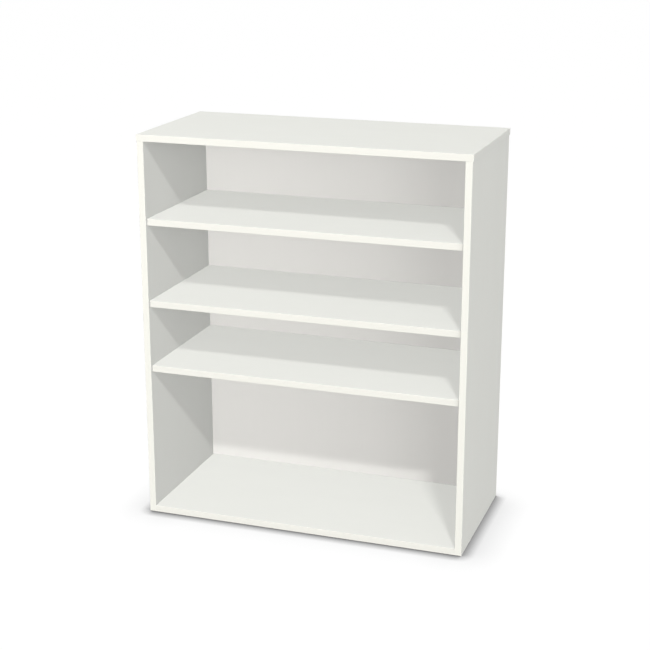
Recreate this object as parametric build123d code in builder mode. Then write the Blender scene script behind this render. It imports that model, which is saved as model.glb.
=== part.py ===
from build123d import *
import os

# Miniature bookcase in thin sheet, one twelfth of full size. Millimetres, +Z up, front faces -Y.
# The origin is on the floor, below the middle of the case.

# Case
case_width = 80.0  # over the outer faces of the two sides
case_depth = 37.2  # front plane to rear plane
case_height = 94.9  # floor to the upper face of the top board
side_thickness = 1.6
top_thickness = 1.6
bottom_thickness = 1.6
top_overhang = 0.2  # top board past the outer face of each side

# Shelves, placed by the clear height of the bay above each one; the lowest bay takes what is left
shelf_thickness = 1.6
upper_bay_height = 18.5
second_bay_height = 18.5
third_bay_height = 14.8
shelf_setback = 0.8  # shelf's front edge behind the front plane
housing_depth = 0.5  # shelf's end let into the side

# Back panel
back_thickness = 0.8
rebate_depth = 0.5  # back panel's edges let into the boards round it, flush with the rear plane

# Dowels, two in each corner joint
dowel_diameter = 0.8
dowel_face_depth = 0.9  # hole in the face of a board
dowel_end_depth = 2.2  # hole in the end of a board
dowel_inset = 8.0  # front or rear plane to the dowel's axis
dowel_chamfer = 0.1

# Fits and finish
fit_clearance = 0.04  # round a board's end in its housing, and the back panel in its rebates
dowel_clearance = 0.02  # radial, round a dowel in its hole
dowel_end_clearance = 0.1  # two holes together, past the dowel's length
edge_break = 0.05  # radius on the boards' outer edges

# What follows from those sizes
side_height = case_height - top_thickness
inner_half_width = case_width / 2 - side_thickness
front_y = -case_depth / 2
back_front_y = case_depth / 2 - back_thickness
shelf_front_y = front_y + shelf_setback
upper_shelf_z = side_height - upper_bay_height - shelf_thickness
middle_shelf_z = upper_shelf_z - second_bay_height - shelf_thickness
lower_shelf_z = middle_shelf_z - third_bay_height - shelf_thickness
shelf_undersides = {
    "upper_shelf": upper_shelf_z,
    "middle_shelf": middle_shelf_z,
    "lower_shelf": lower_shelf_z,
}
rebate_bottom_z = bottom_thickness - rebate_depth
rebate_half_span = inner_half_width + rebate_depth
rebate_cut = back_thickness + edge_break  # passes out through the rear plane
hole_radius = dowel_diameter / 2 + dowel_clearance
dowel_length = dowel_end_depth + dowel_face_depth - dowel_end_clearance
dowel_y = case_depth / 2 - dowel_inset
side_middle_x = case_width / 2 - side_thickness / 2
bottom_middle_z = bottom_thickness / 2

pieces = {}

# Left side: housings for the shelves, a rebate for the back panel, and holes for the dowels
with BuildPart() as left_side_panel:
    with BuildSketch(Plane.YZ.offset(-case_width / 2)):
        Rectangle(case_depth, side_height, align=(Align.CENTER, Align.MIN))
    extrude(amount=side_thickness)
    floor_edges = left_side_panel.faces().sort_by(Axis.Z)[0].edges()
    fillet(left_side_panel.edges().filter_by(Axis.Z) + floor_edges, radius=edge_break)
    with BuildSketch(Plane.YZ.offset(-inner_half_width)):
        for shelf_z in shelf_undersides.values():
            with Locations((shelf_front_y, shelf_z)):
                Rectangle(
                    back_front_y - shelf_front_y,
                    shelf_thickness + fit_clearance,
                    align=(Align.MIN, Align.MIN),
                )
    extrude(amount=-housing_depth, mode=Mode.SUBTRACT)
    with BuildSketch(Plane.YZ.offset(-inner_half_width)):
        with Locations((back_front_y, rebate_bottom_z)):
            Rectangle(rebate_cut, side_height - rebate_bottom_z, align=(Align.MIN, Align.MIN))
    extrude(amount=-rebate_depth, mode=Mode.SUBTRACT)
    with BuildSketch(Plane.YZ.offset(-inner_half_width)):
        with Locations((-dowel_y, bottom_middle_z), (dowel_y, bottom_middle_z)):
            Circle(hole_radius)
    extrude(amount=-dowel_face_depth, mode=Mode.SUBTRACT)
    with BuildSketch(Plane.XY.offset(side_height)):
        with Locations((-side_middle_x, -dowel_y), (-side_middle_x, dowel_y)):
            Circle(hole_radius)
    extrude(amount=-dowel_end_depth, mode=Mode.SUBTRACT)
pieces["left_side_panel"] = left_side_panel

# Right side: the left one mirrored
with BuildPart() as right_side_panel:
    mirror(left_side_panel.part, about=Plane.YZ)
pieces["right_side_panel"] = right_side_panel

# Top board: lies on the ends of the sides, with a stopped rebate along its lower rear edge
with BuildPart() as top_panel:
    with BuildSketch(Plane.XY.offset(side_height)):
        Rectangle(case_width + 2 * top_overhang, case_depth)
    extrude(amount=top_thickness)
    fillet(top_panel.edges(), radius=edge_break)
    with BuildSketch(Plane.XY.offset(side_height)):
        with Locations((0, back_front_y)):
            Rectangle(2 * rebate_half_span, rebate_cut, align=(Align.CENTER, Align.MIN))
    extrude(amount=rebate_depth, mode=Mode.SUBTRACT)
    with BuildSketch(Plane.XY.offset(side_height)):
        with GridLocations(2 * side_middle_x, 2 * dowel_y, 2, 2):
            Circle(hole_radius)
    extrude(amount=dowel_face_depth, mode=Mode.SUBTRACT)
pieces["top_panel"] = top_panel

# Bottom board: between the sides, with a rebate along its upper rear edge
with BuildPart() as bottom_panel:
    with BuildSketch(Plane.XY):
        Rectangle(2 * inner_half_width, case_depth)
    extrude(amount=bottom_thickness)
    fillet(bottom_panel.edges().filter_by(Axis.X), radius=edge_break)
    with BuildSketch(Plane.XY.offset(bottom_thickness)):
        with Locations((0, back_front_y)):
            Rectangle(2 * inner_half_width, rebate_cut, align=(Align.CENTER, Align.MIN))
    extrude(amount=-rebate_depth, mode=Mode.SUBTRACT)
    for inward in (1, -1):
        with BuildSketch(Plane.YZ.offset(-inward * inner_half_width)):
            with Locations((-dowel_y, bottom_middle_z), (dowel_y, bottom_middle_z)):
                Circle(hole_radius)
        extrude(amount=inward * dowel_end_depth, mode=Mode.SUBTRACT)
pieces["bottom_panel"] = bottom_panel

# Back panel: stands on the floor of the bottom rebate, its front face against the shelves
with BuildPart() as back_panel:
    with BuildSketch(Plane.XZ.offset(-back_front_y)):
        with Locations((0, rebate_bottom_z)):
            Rectangle(
                2 * (rebate_half_span - fit_clearance),
                side_height + rebate_depth - fit_clearance - rebate_bottom_z,
                align=(Align.CENTER, Align.MIN),
            )
    extrude(amount=-back_thickness)
pieces["back_panel"] = back_panel

# Shelves: all alike, each end resting on the lower wall of its housing
for shelf_name, shelf_z in shelf_undersides.items():
    with BuildPart() as shelf:
        with BuildSketch(Plane.XY.offset(shelf_z)):
            with Locations((0, shelf_front_y)):
                Rectangle(
                    2 * (inner_half_width + housing_depth - fit_clearance),
                    back_front_y - shelf_front_y,
                    align=(Align.CENTER, Align.MIN),
                )
        extrude(amount=shelf_thickness)
        fillet(shelf.edges().filter_by(Axis.X).group_by(Axis.Y)[0], radius=edge_break)
    pieces[shelf_name] = shelf

# Upright dowels between the sides and the top board
with BuildPart() as top_dowels:
    with BuildSketch(Plane.XY.offset(side_height - dowel_end_depth)):
        with GridLocations(2 * side_middle_x, 2 * dowel_y, 2, 2):
            Circle(dowel_diameter / 2)
    extrude(amount=dowel_length)
    chamfer(top_dowels.edges().filter_by(GeomType.CIRCLE), length=dowel_chamfer)
pieces["top_dowels"] = top_dowels

# Level dowels between the sides and the ends of the bottom board
with BuildPart() as bottom_dowels:
    with BuildSketch(Plane.YZ.offset(-inner_half_width - dowel_face_depth)):
        with Locations((-dowel_y, bottom_middle_z), (dowel_y, bottom_middle_z)):
            Circle(dowel_diameter / 2)
    extrude(amount=dowel_length)
    chamfer(bottom_dowels.edges().filter_by(GeomType.CIRCLE), length=dowel_chamfer)
    mirror(about=Plane.YZ)
pieces["bottom_dowels"] = bottom_dowels

os.makedirs("parts", exist_ok=True)
for name, piece in pieces.items():
    piece.part.label = name
    export_step(piece.part, f"parts/{name}.step")
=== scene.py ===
"""Finishes the boards of a dolls' house bookcase and stands it on a plain studio floor.

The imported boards, shelves, back and dowels come in as a fixed frame, already in place.
Each group of like pieces has an operator that gives it its paint or its wood, and one more
operator makes the studio: the camera, the floor, the surround and the lamps.
Lengths in the code are in metres unless a name says otherwise.
"""

import math

import bmesh
import bpy
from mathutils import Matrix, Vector


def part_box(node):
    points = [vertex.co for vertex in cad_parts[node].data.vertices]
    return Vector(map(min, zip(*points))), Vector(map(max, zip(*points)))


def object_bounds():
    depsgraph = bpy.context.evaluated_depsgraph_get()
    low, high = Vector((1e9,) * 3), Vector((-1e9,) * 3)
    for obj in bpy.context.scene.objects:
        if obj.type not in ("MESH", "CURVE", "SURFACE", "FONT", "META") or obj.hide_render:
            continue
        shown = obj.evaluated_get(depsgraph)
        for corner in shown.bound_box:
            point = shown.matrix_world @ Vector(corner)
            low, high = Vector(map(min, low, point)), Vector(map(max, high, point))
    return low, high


bl_info = {
    "name": "Miniature Bookcase",
    "version": (1, 0, 0),
    "blender": (4, 5, 0),
    "location": "View3D > Sidebar > Bookcase",
    "description": "Paints the boards of a dolls' house bookcase and sets up its studio",
    "category": "Object",
}

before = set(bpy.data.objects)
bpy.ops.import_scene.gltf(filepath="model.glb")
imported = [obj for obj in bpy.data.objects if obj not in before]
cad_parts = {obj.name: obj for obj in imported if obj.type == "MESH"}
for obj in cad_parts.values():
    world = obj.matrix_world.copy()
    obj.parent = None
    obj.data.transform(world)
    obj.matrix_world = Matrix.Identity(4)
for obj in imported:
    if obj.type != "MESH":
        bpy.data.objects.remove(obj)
CAD_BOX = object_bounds()
MILLIMETRE = 0.001
X, Y, Z = range(3)

SHELVES = ("upper_shelf", "middle_shelf", "lower_shelf")
BACK = "back_panel"
DOWELS = ("top_dowels", "bottom_dowels")
LEVEL_BOARDS = ("top_panel", *SHELVES, "bottom_panel")


# ---------------------------------------------------------------- sizes and colours


class PaintSettings(bpy.types.PropertyGroup):
    """The satin paint on the boards, the shelves and the back."""

    board_colour: bpy.props.FloatVectorProperty(
        name="Board Paint",
        description="White paint on the faces of the boards and shelves",
        subtype="COLOR", size=3, min=0.0, max=1.0,
        default=(0.825, 0.83, 0.786),
    )
    # Partly a creamier coat on the end grain, and partly painted warm light from the front.
    edge_cream_and_painted_light: bpy.props.FloatVectorProperty(
        name="Front Edge Paint",
        description="Creamier paint on the narrow front edges, which take one coat more",
        subtype="COLOR", size=3, min=0.0, max=1.0,
        default=(0.838, 0.83, 0.768),
    )
    # Lighter than the other front edges: painted light on the sides' front edges, over the same
    # creamy coat.
    upright_edge_cream_and_painted_light: bpy.props.FloatVectorProperty(
        name="Side Edge Paint",
        description="The same creamy paint on the front edges of the two sides, a touch lighter",
        subtype="COLOR", size=3, min=0.0, max=1.0,
        default=(0.856, 0.85, 0.784),
    )
    back_colour: bpy.props.FloatVectorProperty(
        name="Back Panel Paint",
        description="Slightly warmer paint on the thin back panel",
        subtype="COLOR", size=3, min=0.0, max=1.0,
        default=(0.844, 0.83, 0.792),
    )
    roughness: bpy.props.FloatProperty(
        name="Roughness",
        description="Soft eggshell finish: lower is glossier",
        default=0.6, min=0.05, max=1.0, subtype="FACTOR",
    )
    shine: bpy.props.FloatProperty(
        name="Shine",
        description="How much the paint reflects: 0.5 is a plain gloss paint, 0 is dead flat",
        default=0.03, min=0.0, max=1.0, subtype="FACTOR",
    )
    brush_pitch: bpy.props.FloatProperty(
        name="Brush Mark Pitch",
        description="Distance across the board from one faint brush mark to the next",
        default=0.55 * MILLIMETRE, min=0.00005, max=0.01, precision=5,
        subtype="DISTANCE", unit="LENGTH",
    )
    brush_depth: bpy.props.FloatProperty(
        name="Brush Mark Depth",
        description="Height of the brush marks above the hollows between them",
        default=0.0022 * MILLIMETRE, min=0.0, max=0.001, precision=6,
        subtype="DISTANCE", unit="LENGTH",
    )
    peel_pitch: bpy.props.FloatProperty(
        name="Paint Grain Pitch",
        description="Distance between the small dimples that the paint dries with",
        default=0.32 * MILLIMETRE, min=0.00005, max=0.01, precision=5,
        subtype="DISTANCE", unit="LENGTH",
    )
    peel_depth: bpy.props.FloatProperty(
        name="Paint Grain Depth",
        description="Depth of those dimples",
        default=0.0010 * MILLIMETRE, min=0.0, max=0.001, precision=6,
        subtype="DISTANCE", unit="LENGTH",
    )
    tone_variation: bpy.props.FloatProperty(
        name="Tone Variation",
        description="How much lighter or darker the coat is from place to place",
        default=0.012, min=0.0, max=0.2, subtype="FACTOR",
    )
    # The seam lines below are painted shade: darker lines where boards meet and round the back
    # panel's rim.
    painted_shade_width: bpy.props.FloatProperty(
        name="Seam Width",
        description="How far the thin dark line reaches out from where two boards meet",
        default=0.22 * MILLIMETRE, min=0.00001, max=0.005, precision=5,
        subtype="DISTANCE", unit="LENGTH",
    )
    painted_shade_depth: bpy.props.FloatProperty(
        name="Seam Darkness",
        description="How dark that line is",
        default=0.06, min=0.0, max=1.0, subtype="FACTOR",
    )
    painted_rim_shade_depth: bpy.props.FloatProperty(
        name="Rear Seam Darkness",
        description="How dark the line is round the rim of the back panel, seen from behind",
        default=0.40, min=0.0, max=1.0, subtype="FACTOR",
    )
    arris_wear: bpy.props.FloatProperty(
        name="Arris Wear",
        description="How far the paint thins towards bare wood on the broken corners",
        default=0.05, min=0.0, max=1.0, subtype="FACTOR",
    )


class WoodSettings(bpy.types.PropertyGroup):
    """The bare wood of the dowels."""

    wood_colour: bpy.props.FloatVectorProperty(
        name="Dowel Wood",
        description="Pale hardwood between the growth lines",
        subtype="COLOR", size=3, min=0.0, max=1.0,
        default=(0.62, 0.45, 0.27),
    )
    grain_colour: bpy.props.FloatVectorProperty(
        name="Dowel Grain",
        description="Darker wood of the growth lines",
        subtype="COLOR", size=3, min=0.0, max=1.0,
        default=(0.44, 0.28, 0.15),
    )
    grain_pitch: bpy.props.FloatProperty(
        name="Grain Pitch",
        description="Distance from one growth line to the next",
        default=0.16 * MILLIMETRE, min=0.00005, max=0.01, precision=5,
        subtype="DISTANCE", unit="LENGTH",
    )


class StudioSettings(bpy.types.PropertyGroup):
    """The camera, the floor and the light."""

    camera_azimuth: bpy.props.FloatProperty(
        name="Camera Azimuth",
        description="How far the camera stands round to the right of straight ahead",
        default=math.radians(18.94), subtype="ANGLE", unit="ROTATION",
    )
    camera_elevation: bpy.props.FloatProperty(
        name="Camera Elevation",
        description="How far the camera looks down",
        default=math.radians(16.98), subtype="ANGLE", unit="ROTATION",
    )
    camera_distance: bpy.props.FloatProperty(
        name="Camera Distance",
        description="Distance from the camera to the point that it looks at",
        default=0.36, min=0.05, subtype="DISTANCE", unit="LENGTH",
    )
    camera_lens: bpy.props.FloatProperty(
        name="Camera Lens",
        description="Focal length on a sensor 36 mm wide",
        default=81.05, min=10.0, subtype="DISTANCE_CAMERA",
    )
    floor_size: bpy.props.FloatProperty(
        name="Floor Size",
        description="Length of each side of the square floor",
        default=6.0, min=0.5, subtype="DISTANCE", unit="LENGTH",
    )
    floor_colour: bpy.props.FloatVectorProperty(
        name="Floor",
        description="Colour of the plain floor",
        subtype="COLOR", size=3, min=0.0, max=1.0,
        default=(0.8, 0.8, 0.8),
    )
    key_azimuth: bpy.props.FloatProperty(
        name="Key Azimuth",
        description="How far the key lamp stands round to the right of straight ahead",
        default=math.radians(25.2), subtype="ANGLE", unit="ROTATION",
    )
    key_elevation: bpy.props.FloatProperty(
        name="Key Elevation",
        description="Height of the key lamp above the horizon",
        default=math.radians(40.3), subtype="ANGLE", unit="ROTATION",
    )
    key_strength: bpy.props.FloatProperty(
        name="Key Strength",
        description="Light that the key lamp puts on a face turned square to it",
        default=0.919, min=0.0,
    )
    surround_strength: bpy.props.FloatProperty(
        name="Surround Strength",
        description="Light that comes from the pale room all round",
        default=0.0, min=0.0,
    )


# ---------------------------------------------------------------- shader building


class Signal:
    """A shader socket that takes part in Python sums; each operator adds a Math node."""

    def __init__(self, shader, socket):
        self.shader = shader
        self.socket = socket

    def maths(self, operation, *values):
        return self.shader.node("ShaderNodeMath", {"operation": operation}, dict(enumerate(values)))

    def __add__(self, other):
        return self.maths("ADD", self, other)

    def __radd__(self, other):
        return self.maths("ADD", other, self)

    def __sub__(self, other):
        return self.maths("SUBTRACT", self, other)

    def __rsub__(self, other):
        return self.maths("SUBTRACT", other, self)

    def __mul__(self, other):
        return self.maths("MULTIPLY", self, other)

    def __rmul__(self, other):
        return self.maths("MULTIPLY", other, self)

    def __pow__(self, other):
        return self.maths("POWER", self, other)

    def __abs__(self):
        return self.maths("ABSOLUTE", self)

    def greater(self, other):
        return self.maths("MAXIMUM", self, other)


def find_socket(sockets, key):
    """The socket at a number, or with a name or identifier."""
    if isinstance(key, int):
        return sockets[key]
    for socket in sockets:
        if key in (socket.identifier, socket.name):
            return socket
    raise KeyError(f"no socket {key!r} among {[socket.name for socket in sockets]}")


class Shader:
    """A node tree that is built by one method."""

    def __init__(self, tree):
        self.tree = tree
        tree.nodes.clear()

    def node(self, kind, settings=None, inputs=None, output=0):
        """Adds a node: its settings first, then the values or links of its sockets."""
        node = self.tree.nodes.new(kind)
        for name, value in (settings or {}).items():
            setattr(node, name, value)
        for key, value in (inputs or {}).items():
            socket = find_socket(node.inputs, key)
            if isinstance(value, Signal):
                self.tree.links.new(value.socket, socket)
            else:
                socket.default_value = value
        if not node.outputs:
            return None
        return Signal(self, find_socket(node.outputs, output))

    def coordinates(self):
        """A point on the piece, in metres, in the frame of the whole bookcase."""
        return self.node("ShaderNodeTexCoord", output="Object")

    def normal(self):
        """The direction that the face points in, in the same frame."""
        return self.node("ShaderNodeTexCoord", output="Normal")

    def split(self, vector):
        """The three parts of a vector."""
        return [
            self.node("ShaderNodeSeparateXYZ", inputs={0: vector}, output=axis)
            for axis in (X, Y, Z)
        ]

    def step(self, value, start, end):
        """0 up to start, 1 from end on, and a smooth rise between them."""
        return self.node(
            "ShaderNodeMapRange",
            {"interpolation_type": "SMOOTHSTEP", "clamp": True},
            {"Value": value, "From Min": start, "From Max": end, "To Min": 0.0, "To Max": 1.0},
        )

    def noise(self, place, pitch, detail=2.0, roughness=0.5):
        """Soft noise from 0 to 1. The pitch is a length, or one length for each axis."""
        pitches = (pitch,) * 3 if isinstance(pitch, float) else pitch
        scaled = self.node(
            "ShaderNodeMapping",
            inputs={"Vector": place, "Scale": tuple(1 / length for length in pitches)},
        )
        return self.node(
            "ShaderNodeTexNoise",
            {"noise_dimensions": "3D"},
            {"Vector": scaled, "Scale": 1.0, "Detail": detail, "Roughness": roughness},
            output="Fac",
        )

    def blend(self, factor, first, second):
        """One colour turning into another as the factor goes from 0 to 1."""
        return self.node(
            "ShaderNodeMix",
            {"data_type": "RGBA"},
            {"Factor_Float": factor, "A_Color": first, "B_Color": second},
            output="Result_Color",
        )

    def shaded(self, colour, level):
        """A colour made lighter or darker by a number."""
        return self.node(
            "ShaderNodeVectorMath", {"operation": "SCALE"}, {0: colour, "Scale": level}
        )

    def surface(self, shader):
        """Puts a finished shader on the surface."""
        self.node("ShaderNodeOutputMaterial", inputs={"Surface": shader})


def new_material(name):
    """A material with an empty node tree, and the shader that fills it."""
    material = bpy.data.materials.new(name)
    material.use_nodes = True
    return material, Shader(material.node_tree)


def opaque(colour):
    """A colour of three numbers with full alpha."""
    return (*colour, 1.0)


def stretched(pitch, along, ratio):
    """One pitch for each axis, with the pattern drawn out along one of them."""
    return tuple(pitch * ratio if axis == along else pitch for axis in (X, Y, Z))


# ---------------------------------------------------------------- paint and wood

# How squarely a face looks along an axis: the first number is none of it, the second all.
FRONT_FACING = (0.80, 0.97)
ARRIS_FACING = (0.80, 0.97)
PAINTED_SHADE_FACING = (0.3, 0.7)

# A pattern's stretch is how much longer it is along the board than across it.
BRUSH_STRETCH = 45.0
TONE_STRETCH = 2.5
TONE_PITCH = 9.0 * MILLIMETRE

BARE_WOOD = (0.66, 0.56, 0.42)
GRAIN_ROUGHNESS = 0.08
ARRIS_ROUGHNESS = 0.1

GROWTH_STRETCH = 14.0
GROWTH_LINE = (0.46, 0.62)
PORE_STRETCH = 20.0
PORE_EDGE = (0.62, 0.72)
PORE_SHADE = 0.25
PORES_PER_LINE = 3
DOWEL_RELIEF = 0.004
DOWEL_ROUGHNESS = 0.62
DOWEL_ROUGHNESS_SPREAD = 0.1


def painted_seam_shade(shader, parts, facing, width, seams, depth, side=None):
    """Painted shade along the seams where boards meet: 1 away from every seam, and less by the depth
    on it.

    A seam is an axis and a place along it. A side is the axis and the sign of the faces that
    show the lines, where not every face does.
    """
    open_face = None
    for axis, place in seams:
        clear = shader.step(abs(parts[axis] - place), 0.0, width)
        open_face = clear if open_face is None else open_face * clear
    line = (1.0 - open_face) * depth
    if side is not None:
        axis, sign = side
        line = line * shader.step(facing[axis] * sign, *PAINTED_SHADE_FACING)
    return 1.0 - line


def painted(name, paint, colour, edge_cream_and_painted_light, along, *shade_seam_sets):
    """Satin paint brushed along one axis, with painted shade along the seams where boards meet and
    slightly worn corners.

    The edge colour is for the front edges, and is None on a piece that shows none. Each set of
    seams is its list of seams, the depth of their painted shade and, where it matters, the side that
    shows them.
    """
    material, shader = new_material(name)
    place = shader.coordinates()
    parts = shader.split(place)
    facing = shader.split(shader.normal())

    brush = shader.noise(place, stretched(paint.brush_pitch, along, BRUSH_STRETCH), detail=3.0)
    peel = shader.noise(place, paint.peel_pitch, detail=1.0)
    cloud = shader.noise(
        place, stretched(TONE_PITCH, along, TONE_STRETCH), detail=3.0, roughness=0.6
    )

    coat = opaque(colour)
    # Front-facing faces take the edge colour, a creamier coat with painted warm light from the
    # front.
    if edge_cream_and_painted_light is not None:
        front = shader.step(-1.0 * facing[Y], *FRONT_FACING)
        coat = shader.blend(front, coat, opaque(edge_cream_and_painted_light))
    squareness = abs(facing[X]).greater(abs(facing[Y])).greater(abs(facing[Z]))
    arris = 1.0 - shader.step(squareness, *ARRIS_FACING)
    coat = shader.blend(arris * paint.arris_wear, coat, opaque(BARE_WOOD))

    level = 1.0 + (cloud - 0.5) * (2.0 * paint.tone_variation)
    level = level + (brush - 0.5) * paint.tone_variation
    # Painted shade: each set of seams darkens the coat along the lines where boards meet.
    for one_shade_seam_set in shade_seam_sets:
        level = level * painted_seam_shade(shader, parts, facing, paint.painted_shade_width, *one_shade_seam_set)
    coat = shader.shaded(coat, level)

    rough = paint.roughness + (peel - 0.5) * GRAIN_ROUGHNESS + arris * ARRIS_ROUGHNESS
    relief = brush * (paint.brush_depth / MILLIMETRE) + peel * (paint.peel_depth / MILLIMETRE)
    bumped = shader.node(
        "ShaderNodeBump", inputs={"Strength": 1.0, "Distance": MILLIMETRE, "Height": relief}
    )
    shader.surface(shader.node(
        "ShaderNodeBsdfPrincipled",
        inputs={
            "Base Color": coat,
            "Roughness": rough,
            "Specular IOR Level": paint.shine,
            "Normal": bumped,
        },
    ))
    return material


def turned_wood(name, wood, along):
    """Bare dowel wood with growth lines along its length."""
    material, shader = new_material(name)
    place = shader.coordinates()
    grain = shader.noise(
        place, stretched(wood.grain_pitch, along, GROWTH_STRETCH), detail=4.0, roughness=0.6
    )
    pore_pitch = wood.grain_pitch / PORES_PER_LINE
    pores = shader.noise(place, stretched(pore_pitch, along, PORE_STRETCH), detail=1.0)
    line = shader.step(grain, *GROWTH_LINE)
    tone = shader.blend(line, opaque(wood.wood_colour), opaque(wood.grain_colour))
    tone = shader.shaded(tone, 1.0 - shader.step(pores, *PORE_EDGE) * PORE_SHADE)
    relief = (pores + grain) * DOWEL_RELIEF
    bumped = shader.node(
        "ShaderNodeBump", inputs={"Strength": 1.0, "Distance": MILLIMETRE, "Height": relief}
    )
    rough = DOWEL_ROUGHNESS + grain * DOWEL_ROUGHNESS_SPREAD
    shader.surface(shader.node(
        "ShaderNodeBsdfPrincipled",
        inputs={"Base Color": tone, "Roughness": rough, "Normal": bumped},
    ))
    return material


def give(node, material):
    """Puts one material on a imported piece."""
    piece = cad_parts[node]
    piece.data.materials.clear()
    piece.data.materials.append(material)


def level_seams():
    """Where a level board meets the sides and the back."""
    left_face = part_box("left_side_panel")[1].x
    right_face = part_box("right_side_panel")[0].x
    return [(X, left_face), (X, right_face), (Y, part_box(BACK)[0].y)]


def upright_seams():
    """Where the level boards meet the faces of an upright one."""
    top, *shelves, bottom = (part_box(node) for node in LEVEL_BOARDS)
    faces = [top[0].z, bottom[1].z]
    for low, high in shelves:
        faces += [low.z, high.z]
    return [(Z, height) for height in faces]


def rim_seams():
    """The rim of the back panel, seen from behind in its rebates."""
    low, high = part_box(BACK)
    return [(X, low.x), (X, high.x), (Z, low.z), (Z, high.z)]


# ---------------------------------------------------------------- studio

AIM_OFFSET = Vector((-0.7, 1.8, -0.8)) * MILLIMETRE
SENSOR_WIDTH = 36.0
CAMERA_REACH = (0.01, 50.0)

# The painted shadow where the case stands, from ambient occlusion, as the reach and the power of two
# layers of it. The floor looks for the case along the lean, tilted to the rear, so more of the
# shadow falls in front.
CONTACT_LAYERS = ((3.1 * MILLIMETRE, 1.27), (11.0 * MILLIMETRE, 0.41))
CONTACT_LEAN = (-0.10, 0.46, 1.0)
OCCLUSION_SAMPLES = 16

# What the camera sees of the floor: a little of the lamps' light, and the rest its own glow.
FLOOR_SHADE = 0.05
FLOOR_GLOW = 0.965

KEY_DISTANCE = 5.0
KEY_WIDTH = 0.44
KEY_HEIGHT = 0.17

# Twins of the key: name, pieces, how much higher it stands, its own height, share of strength.
PART_KEYS = (
    ("shelf_key", SHELVES, math.radians(2.8), 0.35, 1.0),
    ("back_key", (BACK,), math.radians(-1.0), 0.12, 1.14),
)

# Square shadowless lamps near the case: name, azimuth and elevation in degrees, distance and
# strength. Near ones light the boards' nearer ends more than their far ones.
NEAR_FILL_SIZE = 0.1
NEAR_FILLS = (
    ("left_near_fill", -20.0, 35.0, 0.70, 1.11),
    ("left_low_fill", -20.0, 10.0, 0.45, 0.40),
    ("right_near_fill", 90.0, 0.0, 0.45, 0.29),
    ("right_foot_fill", 60.0, -15.0, 0.35, 0.39),
)

# Lamps far away: name, azimuth, elevation and spread in degrees, strength, casts shadows.
SUNS = (
    ("low_right_front", 30.0, 3.0, 20.0, 0.52, True),
    ("low_right_near", 45.0, 3.0, 20.0, 0.40, True),
    ("low_right_far", 60.0, 3.0, 20.0, 0.39, True),
    ("low_right_side", 75.0, 3.0, 20.0, 0.18, True),
    ("middle_front", 0.0, 14.0, 16.0, 0.14, True),
    ("middle_right", 20.0, 26.0, 16.0, 0.07, True),
    ("right_fill", 45.0, 0.0, 0.0, 0.74, False),
    ("top_fill", 0.0, 90.0, 0.0, 1.62, False),
    ("left_fill", 270.0, 0.0, 0.0, 1.60, False),
    ("back_fill", 180.0, 0.0, 0.0, 2.25, False),
)


def direction(azimuth, elevation):
    """Towards a lamp or a camera: azimuth 0 is straight in front, and 90 degrees is to the right."""
    level = math.cos(elevation)
    return Vector((math.sin(azimuth) * level, -math.cos(azimuth) * level, math.sin(elevation)))


def centre_of_case():
    """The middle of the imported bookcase's box."""
    low, high = CAD_BOX
    return (low + high) / 2


def link(thing):
    """Puts a new object in the scene."""
    bpy.context.scene.collection.objects.link(thing)
    return thing


def make_camera(studio):
    """The camera, looking a little down at the case from the right."""
    data = bpy.data.cameras.new("camera")
    data.sensor_width = SENSOR_WIDTH
    data.lens = studio.camera_lens
    data.clip_start, data.clip_end = CAMERA_REACH
    camera = link(bpy.data.objects.new("camera", data))
    back = direction(studio.camera_azimuth, studio.camera_elevation)
    camera.location = centre_of_case() + AIM_OFFSET + back * studio.camera_distance
    camera.rotation_euler = (math.pi / 2 - studio.camera_elevation, 0.0, studio.camera_azimuth)
    bpy.context.scene.camera = camera


def seen_white(shader):
    """1 for what the camera sees, straight on, in a gloss or through something clear."""
    rays = [
        shader.node("ShaderNodeLightPath", output=name)
        for name in ("Is Camera Ray", "Is Glossy Ray", "Is Transmission Ray")
    ]
    return rays[0].greater(rays[1]).greater(rays[2])


def floor_material(studio):
    """Pale floor that looks white, with a painted contact shadow where the case stands and a faint
    real shadow from the lamps.
    """
    material, shader = new_material("studio_floor")
    lean = shader.node("ShaderNodeCombineXYZ", inputs=dict(zip("XYZ", CONTACT_LEAN)))
    painted_contact_shadow = None
    for reach, power in CONTACT_LAYERS:
        open_sky = shader.node(
            "ShaderNodeAmbientOcclusion",
            {"samples": OCCLUSION_SAMPLES},
            {"Distance": reach, "Normal": lean},
            output="AO",
        )
        painted_contact_shadow = open_sky ** power if painted_contact_shadow is None else painted_contact_shadow * open_sky ** power
    seen = seen_white(shader)
    shade = opaque((FLOOR_SHADE,) * 3)
    colour = shader.blend(seen, opaque(studio.floor_colour), shade)
    # The contact shadow is painted: ambient occlusion darkens the floor's colour and its glow.
    matt = shader.node("ShaderNodeBsdfDiffuse", inputs={"Color": shader.shaded(colour, painted_contact_shadow)})
    glow = shader.node("ShaderNodeEmission", inputs={"Strength": painted_contact_shadow * FLOOR_GLOW * seen})
    shader.surface(shader.node("ShaderNodeAddShader", inputs={0: matt, 1: glow}))
    return material


def make_floor(studio):
    """A flat square floor under the case."""
    mesh = bpy.data.meshes.new("studio_floor")
    shape = bmesh.new()
    bmesh.ops.create_grid(shape, x_segments=1, y_segments=1, size=studio.floor_size / 2)
    bmesh.ops.translate(shape, verts=shape.verts, vec=(0.0, 0.0, CAD_BOX[0].z))
    shape.to_mesh(mesh)
    shape.free()
    mesh.materials.append(floor_material(studio))
    link(bpy.data.objects.new("studio_floor", mesh))


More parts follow.
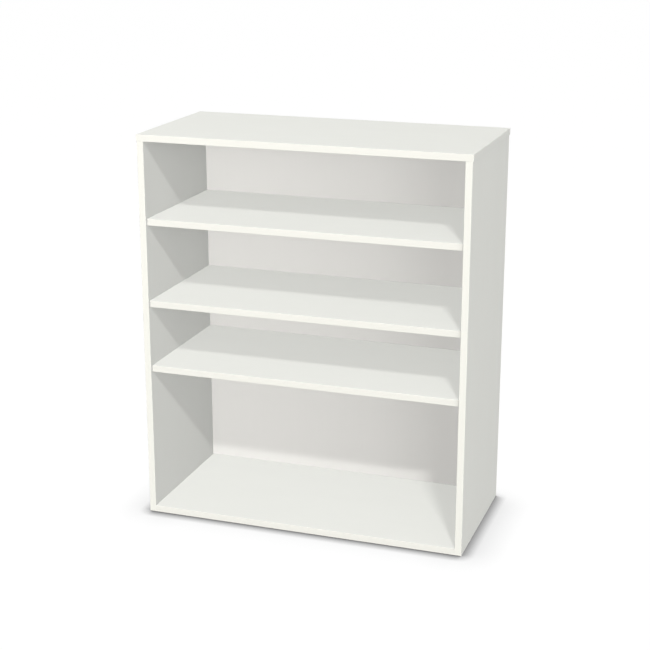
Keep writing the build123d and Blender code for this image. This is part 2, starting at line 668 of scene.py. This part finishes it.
def make_surround(studio):
    """A surround that looks white, and gives only as much light as its setting says."""
    world = bpy.data.worlds.new("surround")
    world.use_nodes = True
    shader = Shader(world.node_tree)
    seen = seen_white(shader)
    strength = seen + (1.0 - seen) * studio.surround_strength
    background = shader.node(
        "ShaderNodeBackground", inputs={"Color": (1.0, 1.0, 1.0, 1.0), "Strength": strength}
    )
    shader.node("ShaderNodeOutputWorld", inputs={"Surface": background})
    bpy.context.scene.world = world


def place_lamp(name, data, shadow):
    """Puts a lamp in the scene. One without shadows is fill, and shows in no gloss."""
    data.use_shadow = shadow
    data.cycles.use_multiple_importance_sampling = shadow
    lamp = link(bpy.data.objects.new(name, data))
    lamp.visible_glossy = shadow
    return lamp


def make_sun(name, azimuth, elevation, spread, strength, shadow):
    """A lamp far away. Its spread is the angle that it fills, so a wide one is soft."""
    data = bpy.data.lights.new(name, "SUN")
    data.energy = strength
    data.angle = spread
    lamp = place_lamp(name, data, shadow)
    towards = direction(azimuth, elevation)
    lamp.rotation_euler = towards.to_track_quat("Z", "Y").to_euler()
    lamp.location = centre_of_case() + towards


def make_strip(name, azimuth, elevation, distance, width, height, strength, shadow):
    """A rectangular lamp turned to the case, with its width level.

    Its strength is the light that it puts on a face at the case that is turned square to it.
    """
    data = bpy.data.lights.new(name, "AREA")
    data.shape = "RECTANGLE"
    data.size, data.size_y = width, height
    data.energy = strength * math.pi * distance ** 2
    lamp = place_lamp(name, data, shadow)
    lamp.rotation_euler = (math.pi / 2 - elevation, 0.0, azimuth)
    lamp.location = centre_of_case() + direction(azimuth, elevation) * distance
    return lamp


def light_chosen(lamp, nodes, state):
    """Makes a lamp light the named pieces alone, or with EXCLUDE everything but them."""
    chosen = bpy.data.collections.new(lamp.name + "_pieces")
    for node in nodes:
        chosen.objects.link(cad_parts[node])
    for member in chosen.collection_objects:
        member.light_linking.link_state = state
    lamp.light_linking.receiver_collection = chosen


def make_keys(studio):
    """The key lamp, and a twin of it a little higher or lower for pieces that it passes by.

    How high a twin stands sets where the shadow line falls on its pieces.
    """
    azimuth, elevation = studio.key_azimuth, studio.key_elevation
    strength = studio.key_strength
    key = make_strip(
        "key", azimuth, elevation, KEY_DISTANCE,
        KEY_WIDTH, KEY_HEIGHT, strength, True,
    )
    passed_by = []
    for name, nodes, rise, height, share in PART_KEYS:
        twin = make_strip(
            name, azimuth, elevation + rise, KEY_DISTANCE,
            KEY_WIDTH, height, share * strength, True,
        )
        light_chosen(twin, nodes, "INCLUDE")
        passed_by += nodes
    light_chosen(key, passed_by, "EXCLUDE")


def make_lamps(studio):
    """The key lamps, low soft lamps to the right, and shadowless fill from all round."""
    make_keys(studio)
    for name, azimuth, elevation, distance, strength in NEAR_FILLS:
        turn, rise = math.radians(azimuth), math.radians(elevation)
        make_strip(name, turn, rise, distance, NEAR_FILL_SIZE, NEAR_FILL_SIZE, strength, False)
    for name, azimuth, elevation, spread, strength, shadow in SUNS:
        turn, rise = math.radians(azimuth), math.radians(elevation)
        make_sun(name, turn, rise, math.radians(spread), strength, shadow)


# ---------------------------------------------------------------- operators


class BOOKCASE_OT_paint_case(bpy.types.Operator):
    """Paint the two sides, the top and the bottom"""

    bl_idname = "bookcase.paint_case"
    bl_label = "Paint Case Boards"

    def execute(self, context):
        paint = context.scene.bookcase_paint
        for node, inward in (("left_side_panel", 1.0), ("right_side_panel", -1.0)):
            give(node, painted(node + "_paint", paint, paint.board_colour,
                               paint.upright_edge_cream_and_painted_light, Z,
                               (upright_seams(), paint.painted_shade_depth, (X, inward))))
        for node, inward in (("top_panel", -1.0), ("bottom_panel", 1.0)):
            give(node, painted(node + "_paint", paint, paint.board_colour, paint.edge_cream_and_painted_light, X,
                               (level_seams(), paint.painted_shade_depth, (Z, inward))))
        return {"FINISHED"}


class BOOKCASE_OT_paint_shelves(bpy.types.Operator):
    """Paint the three shelves"""

    bl_idname = "bookcase.paint_shelves"
    bl_label = "Paint Shelves"

    def execute(self, context):
        paint = context.scene.bookcase_paint
        shelf_paint = painted("shelf_paint", paint, paint.board_colour, paint.edge_cream_and_painted_light, X,
                              (level_seams(), paint.painted_shade_depth))
        for node in SHELVES:
            give(node, shelf_paint)
        return {"FINISHED"}


class BOOKCASE_OT_paint_back(bpy.types.Operator):
    """Paint the thin back panel"""

    bl_idname = "bookcase.paint_back"
    bl_label = "Paint Back Panel"

    def execute(self, context):
        paint = context.scene.bookcase_paint
        give(BACK, painted("back_panel_paint", paint, paint.back_colour, None, Z,
                           (upright_seams(), paint.painted_shade_depth, (Y, -1.0)),
                           (rim_seams(), paint.painted_rim_shade_depth, (Y, 1.0))))
        return {"FINISHED"}


class BOOKCASE_OT_finish_dowels(bpy.types.Operator):
    """Give the dowels their bare wood"""

    bl_idname = "bookcase.finish_dowels"
    bl_label = "Finish Dowels"

    def execute(self, context):
        wood = context.scene.bookcase_wood
        for node, along in zip(DOWELS, (Z, X)):
            give(node, turned_wood(node + "_wood", wood, along))
        return {"FINISHED"}


class BOOKCASE_OT_make_studio(bpy.types.Operator):
    """Make the camera, the floor, the surround and the lamps"""

    bl_idname = "bookcase.make_studio"
    bl_label = "Make Studio"

    def execute(self, context):
        studio = context.scene.bookcase_studio
        make_camera(studio)
        make_floor(studio)
        make_surround(studio)
        make_lamps(studio)
        # The fill lamps stand for the light that the boards throw on each other, so none bounces.
        context.scene.cycles.diffuse_bounces = 0
        context.scene.view_settings.view_transform = "Standard"
        return {"FINISHED"}


class BOOKCASE_PT_sidebar(bpy.types.Panel):
    """The bookcase's settings and the operators that use them"""

    bl_idname = "BOOKCASE_PT_sidebar"
    bl_label = "Miniature Bookcase"
    bl_space_type = "VIEW_3D"
    bl_region_type = "UI"
    bl_category = "Bookcase"

    def draw(self, context):
        scene = context.scene
        for settings in (scene.bookcase_paint, scene.bookcase_wood, scene.bookcase_studio):
            box = self.layout.box()
            for name in settings.__annotations__:
                box.prop(settings, name)
        for operator in OPERATORS:
            self.layout.operator(operator.bl_idname)


SETTINGS = (PaintSettings, WoodSettings, StudioSettings)
OPERATORS = (
    BOOKCASE_OT_paint_case,
    BOOKCASE_OT_paint_shelves,
    BOOKCASE_OT_paint_back,
    BOOKCASE_OT_finish_dowels,
    BOOKCASE_OT_make_studio,
)


def register():
    """Adds the classes, and their settings to every scene."""
    for cls in (*SETTINGS, *OPERATORS, BOOKCASE_PT_sidebar):
        bpy.utils.register_class(cls)
    scene = bpy.types.Scene
    scene.bookcase_paint = bpy.props.PointerProperty(type=PaintSettings)
    scene.bookcase_wood = bpy.props.PointerProperty(type=WoodSettings)
    scene.bookcase_studio = bpy.props.PointerProperty(type=StudioSettings)


def unregister():
    """Takes the settings and the classes away again."""
    del bpy.types.Scene.bookcase_studio
    del bpy.types.Scene.bookcase_wood
    del bpy.types.Scene.bookcase_paint
    for cls in reversed((*SETTINGS, *OPERATORS, BOOKCASE_PT_sidebar)):
        bpy.utils.unregister_class(cls)


def main():
    """Runs every operator in order."""
    register()
    bpy.ops.bookcase.paint_case()
    bpy.ops.bookcase.paint_shelves()
    bpy.ops.bookcase.paint_back()
    bpy.ops.bookcase.finish_dowels()
    bpy.ops.bookcase.make_studio()


if __name__ == "__main__":
    main()
